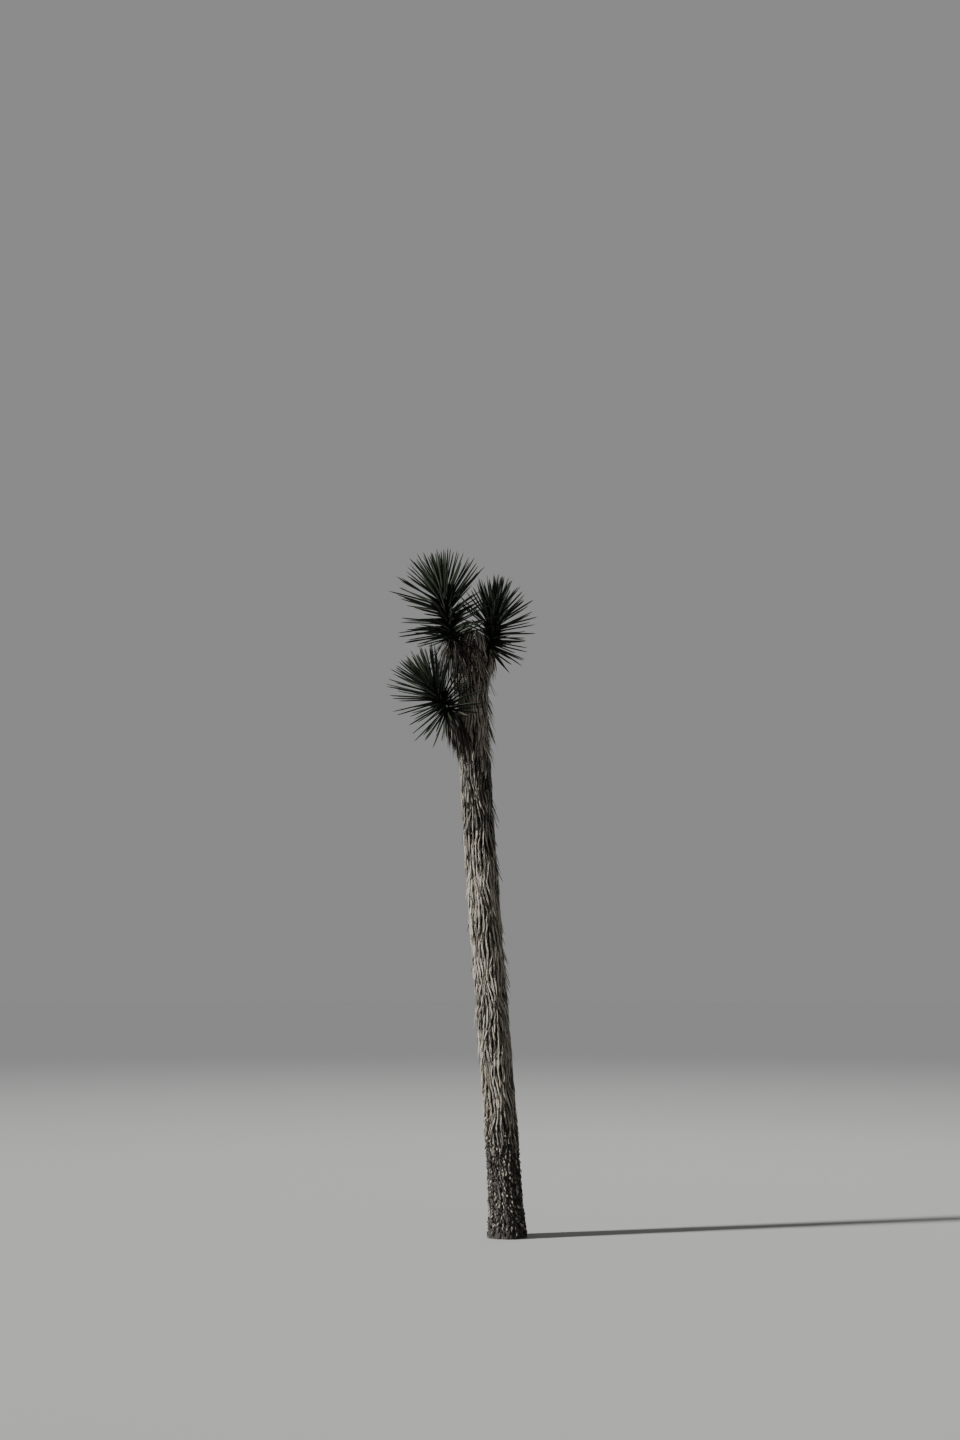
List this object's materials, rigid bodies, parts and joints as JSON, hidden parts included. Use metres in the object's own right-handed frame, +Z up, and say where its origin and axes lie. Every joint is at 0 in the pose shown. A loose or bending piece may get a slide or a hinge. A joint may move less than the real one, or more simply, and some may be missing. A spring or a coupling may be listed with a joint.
{
  "type": "joshua tree",
  "caption": "Young Joshua tree with a slim leaning trunk, shaggy dead-leaf thatch and rosettes of stiff dagger leaves at its forked top.",
  "frame": {"origin": "centre of the flat cut under the trunk, at ground level", "axes": "+Z up along the height; +X to the right and -Y towards the viewer as the picture shows the tree; the trunk leans towards -X"},
  "size_m": [0.8269, 0.6665, 3.7718],
  "materials": {
    "bark": "rough fibrous grey-brown bark with furrows and leaf-base stubs",
    "dead_leaf": "dry matt weathered dead leaves, straw to grey",
    "live_leaf": "stiff satin dark grey-green leaves with pale bases and brown spine tips"
  },
  "bodies": {
    "root": {"trunk": "bark", "bough_upper_left": "bark", "bough_upper_right": "bark", "side_arm": "bark", "thatch_lower": "dead_leaf", "thatch_middle": "dead_leaf", "thatch_upper": "dead_leaf", "thatch_fork": "dead_leaf", "thatch_side_arm": "dead_leaf", "rosette_upper_left": "live_leaf", "rosette_upper_right": "live_leaf", "rosette_side_arm": "live_leaf"}
  },
  "joints": []
}
